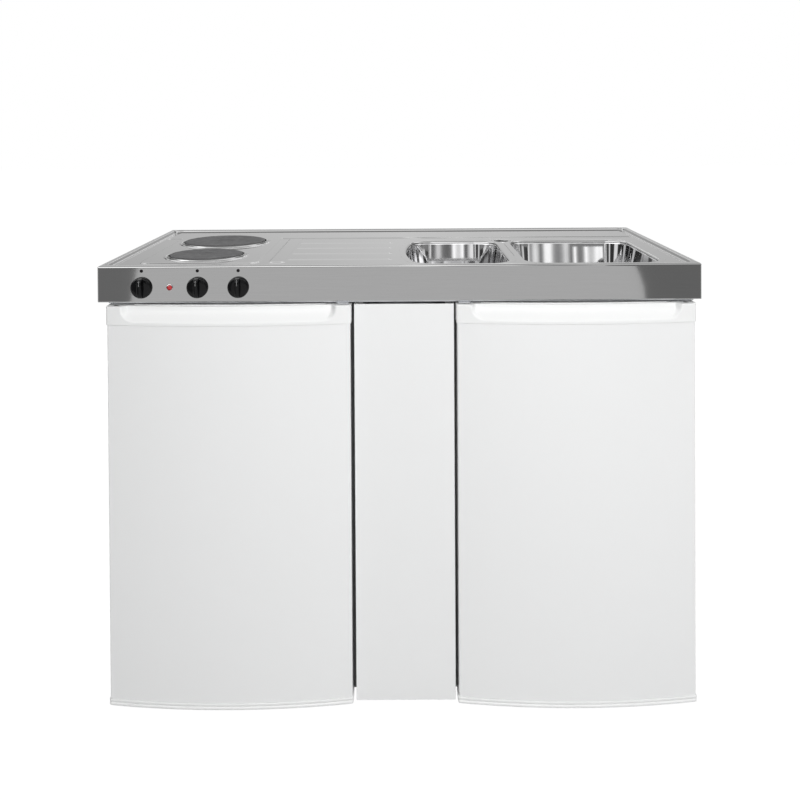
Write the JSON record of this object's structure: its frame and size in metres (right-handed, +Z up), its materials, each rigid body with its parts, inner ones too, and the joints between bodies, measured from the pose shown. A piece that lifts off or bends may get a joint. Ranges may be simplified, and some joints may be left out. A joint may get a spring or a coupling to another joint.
{
  "type": "kitchenette unit",
  "caption": "Free-standing kitchenette: pressed steel worktop with hotplates, drainer and bowls over a refrigerator and a sink cupboard with bowed doors.",
  "frame": {"origin": "middle of the unit's footprint, on the floor", "axes": "+X to the right seen from the front, the doors face -Y, +Z up"},
  "size_m": [1.2, 0.63, 0.9015],
  "materials": {
    "worktop_steel": "satin pressed stainless steel",
    "bowl_steel": "polished stainless steel",
    "bright_steel": "bright rolled stainless steel",
    "zinc_steel": "zinc-plated sheet steel",
    "cast_iron": "blackened cast iron",
    "black_plastic": "gloss black moulding",
    "red_lens": "clear red moulding",
    "switch_plastic": "cream moulding",
    "white_enamel": "gloss white paint on steel",
    "white_trim": "white moulding",
    "white_plastic": "white moulding",
    "clear_plastic": "clear moulding",
    "shelf_glass": "toughened glass",
    "foam": "rigid foam",
    "gasket_rubber": "grey gasket",
    "aluminium": "plain aluminium",
    "black_metal": "black paint on steel",
    "white_board": "white-faced board",
    "back_board": "thin hardboard",
    "pipe_plastic": "white pipe",
    "foot_plastic": "black moulding"
  },
  "bodies": {
    "unit": {"worktop": "worktop_steel", "surround_front": "worktop_steel", "surround_rear": "worktop_steel", "surround_bars": "worktop_steel", "worktop_edge": "worktop_steel", "half_bowl": "bowl_steel", "main_bowl": "bowl_steel", "half_waste": "bright_steel", "main_waste": "bright_steel", "waste_pipes": "pipe_plastic", "bottle_trap": "pipe_plastic", "front_rail": "zinc_steel", "rear_rail": "zinc_steel", "rail_screws": "zinc_steel", "hotplate_front": "cast_iron", "hotplate_rear": "cast_iron", "spill_rings": "bright_steel", "element_cups": "zinc_steel", "hob_tray": "zinc_steel", "control_switches": "switch_plastic", "lamp_lens": "red_lens", "lamp_body": "switch_plastic", "index_dots": "black_plastic", "fridge_casing": "white_enamel", "fridge_insulation": "foam", "fridge_liner": "white_plastic", "evaporator": "aluminium", "thermostat_housing": "white_plastic", "fridge_shelves": "shelf_glass", "crisper": "clear_plastic", "compressor": "black_metal", "condenser": "black_metal", "fridge_feet": "foot_plastic", "fridge_hinges": "zinc_steel", "cupboard_sides": "white_board", "cupboard_bottom": "white_board", "cupboard_back": "back_board", "cupboard_shelf": "white_board", "mullion": "white_board", "centre_panel": "white_enamel", "cupboard_feet": "foot_plastic", "cupboard_hinges": "zinc_steel"},
    "fridge_door": {"fridge_door_skin": "white_enamel", "fridge_door_core": "foam", "fridge_door_liner": "white_plastic", "fridge_door_gasket": "gasket_rubber", "fridge_door_top_trim": "white_trim", "fridge_door_bottom_trim": "white_trim", "fridge_door_racks": "clear_plastic", "fridge_door_bushes": "white_plastic"},
    "cupboard_door": {"cupboard_door_skin": "white_enamel", "cupboard_door_core": "white_board", "cupboard_door_top_trim": "white_trim", "cupboard_door_bottom_trim": "white_trim", "cupboard_door_bushes": "white_plastic"},
    "timer_control": {"timer_knob": "black_plastic"},
    "front_plate_control": {"front_plate_knob": "black_plastic"},
    "rear_plate_control": {"rear_plate_knob": "black_plastic"},
    "cold_control": {"thermostat_dial": "white_plastic"},
    "half_basket": {"half_strainer": "bright_steel"},
    "main_basket": {"main_strainer": "bright_steel"}
  },
  "joints": [
    {"name": "fridge_door_hinge", "type": "hinge", "parent": "unit", "child": "fridge_door", "pos_m": [-0.113, -0.283, 0.426], "axis": [0, 0, 1], "range_deg": [0, 100]},
    {"name": "cupboard_door_hinge", "type": "hinge", "parent": "unit", "child": "cupboard_door", "pos_m": [0.1285, -0.283, 0.426], "axis": [0, 0, -1], "range_deg": [0, 100]},
    {"name": "timer_turn", "type": "hinge", "parent": "unit", "child": "timer_control", "pos_m": [-0.512, -0.295, 0.857], "axis": [0, 1, 0], "range_deg": [0, 330]},
    {"name": "front_plate_turn", "type": "hinge", "parent": "unit", "child": "front_plate_control", "pos_m": [-0.401, -0.295, 0.857], "axis": [0, 1, 0], "continuous": true},
    {"name": "rear_plate_turn", "type": "hinge", "parent": "unit", "child": "rear_plate_control", "pos_m": [-0.32, -0.295, 0.857], "axis": [0, 1, 0], "continuous": true},
    {"name": "cold_dial_turn", "type": "hinge", "parent": "unit", "child": "cold_control", "pos_m": [-0.17, -0.0845, 0.724], "axis": [-1, 0, 0], "range_deg": [0, 270]},
    {"name": "half_basket_lift", "type": "slide", "parent": "unit", "child": "half_basket", "axis": [0, 0, 1], "range_m": [0, 0.1]},
    {"name": "main_basket_lift", "type": "slide", "parent": "unit", "child": "main_basket", "axis": [0, 0, 1], "range_m": [0, 0.13]}
  ]
}
